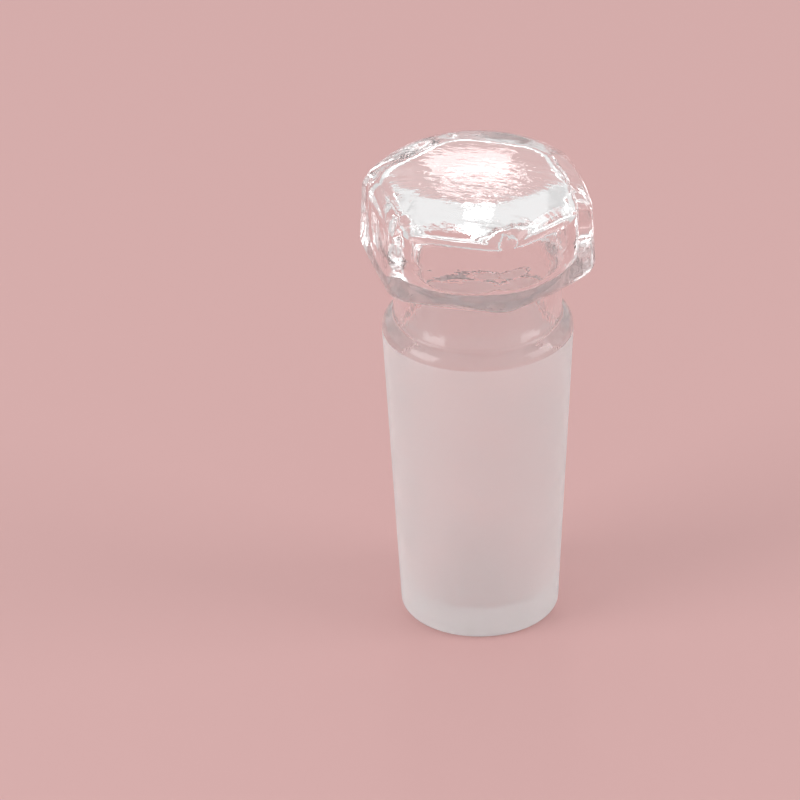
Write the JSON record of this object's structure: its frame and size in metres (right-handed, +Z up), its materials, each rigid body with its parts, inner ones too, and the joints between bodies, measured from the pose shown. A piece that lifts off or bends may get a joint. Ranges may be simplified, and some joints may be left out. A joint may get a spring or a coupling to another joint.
{
  "type": "glass stopper",
  "caption": "Hollow glass stopper with a ground cone and a moulded hexagonal head, closing a conical joint on laboratory glassware.",
  "frame": {"origin": "centre of the small end of the ground cone, on the surface that the stopper stands on", "axes": "+Z up along the axis, from the small end of the cone to the head; X runs through two corners of the hexagonal head, and Y through two of its flats"},
  "size_m": [0.0304, 0.0266, 0.0628],
  "materials": {
    "clear_glass": "clear fire-polished borosilicate glass, with chill ripples on the moulded head",
    "ground_glass": "fine-ground matt glass on the cone and its base edge"
  },
  "bodies": {
    "root": {"stopper": "clear_glass"}
  },
  "joints": []
}
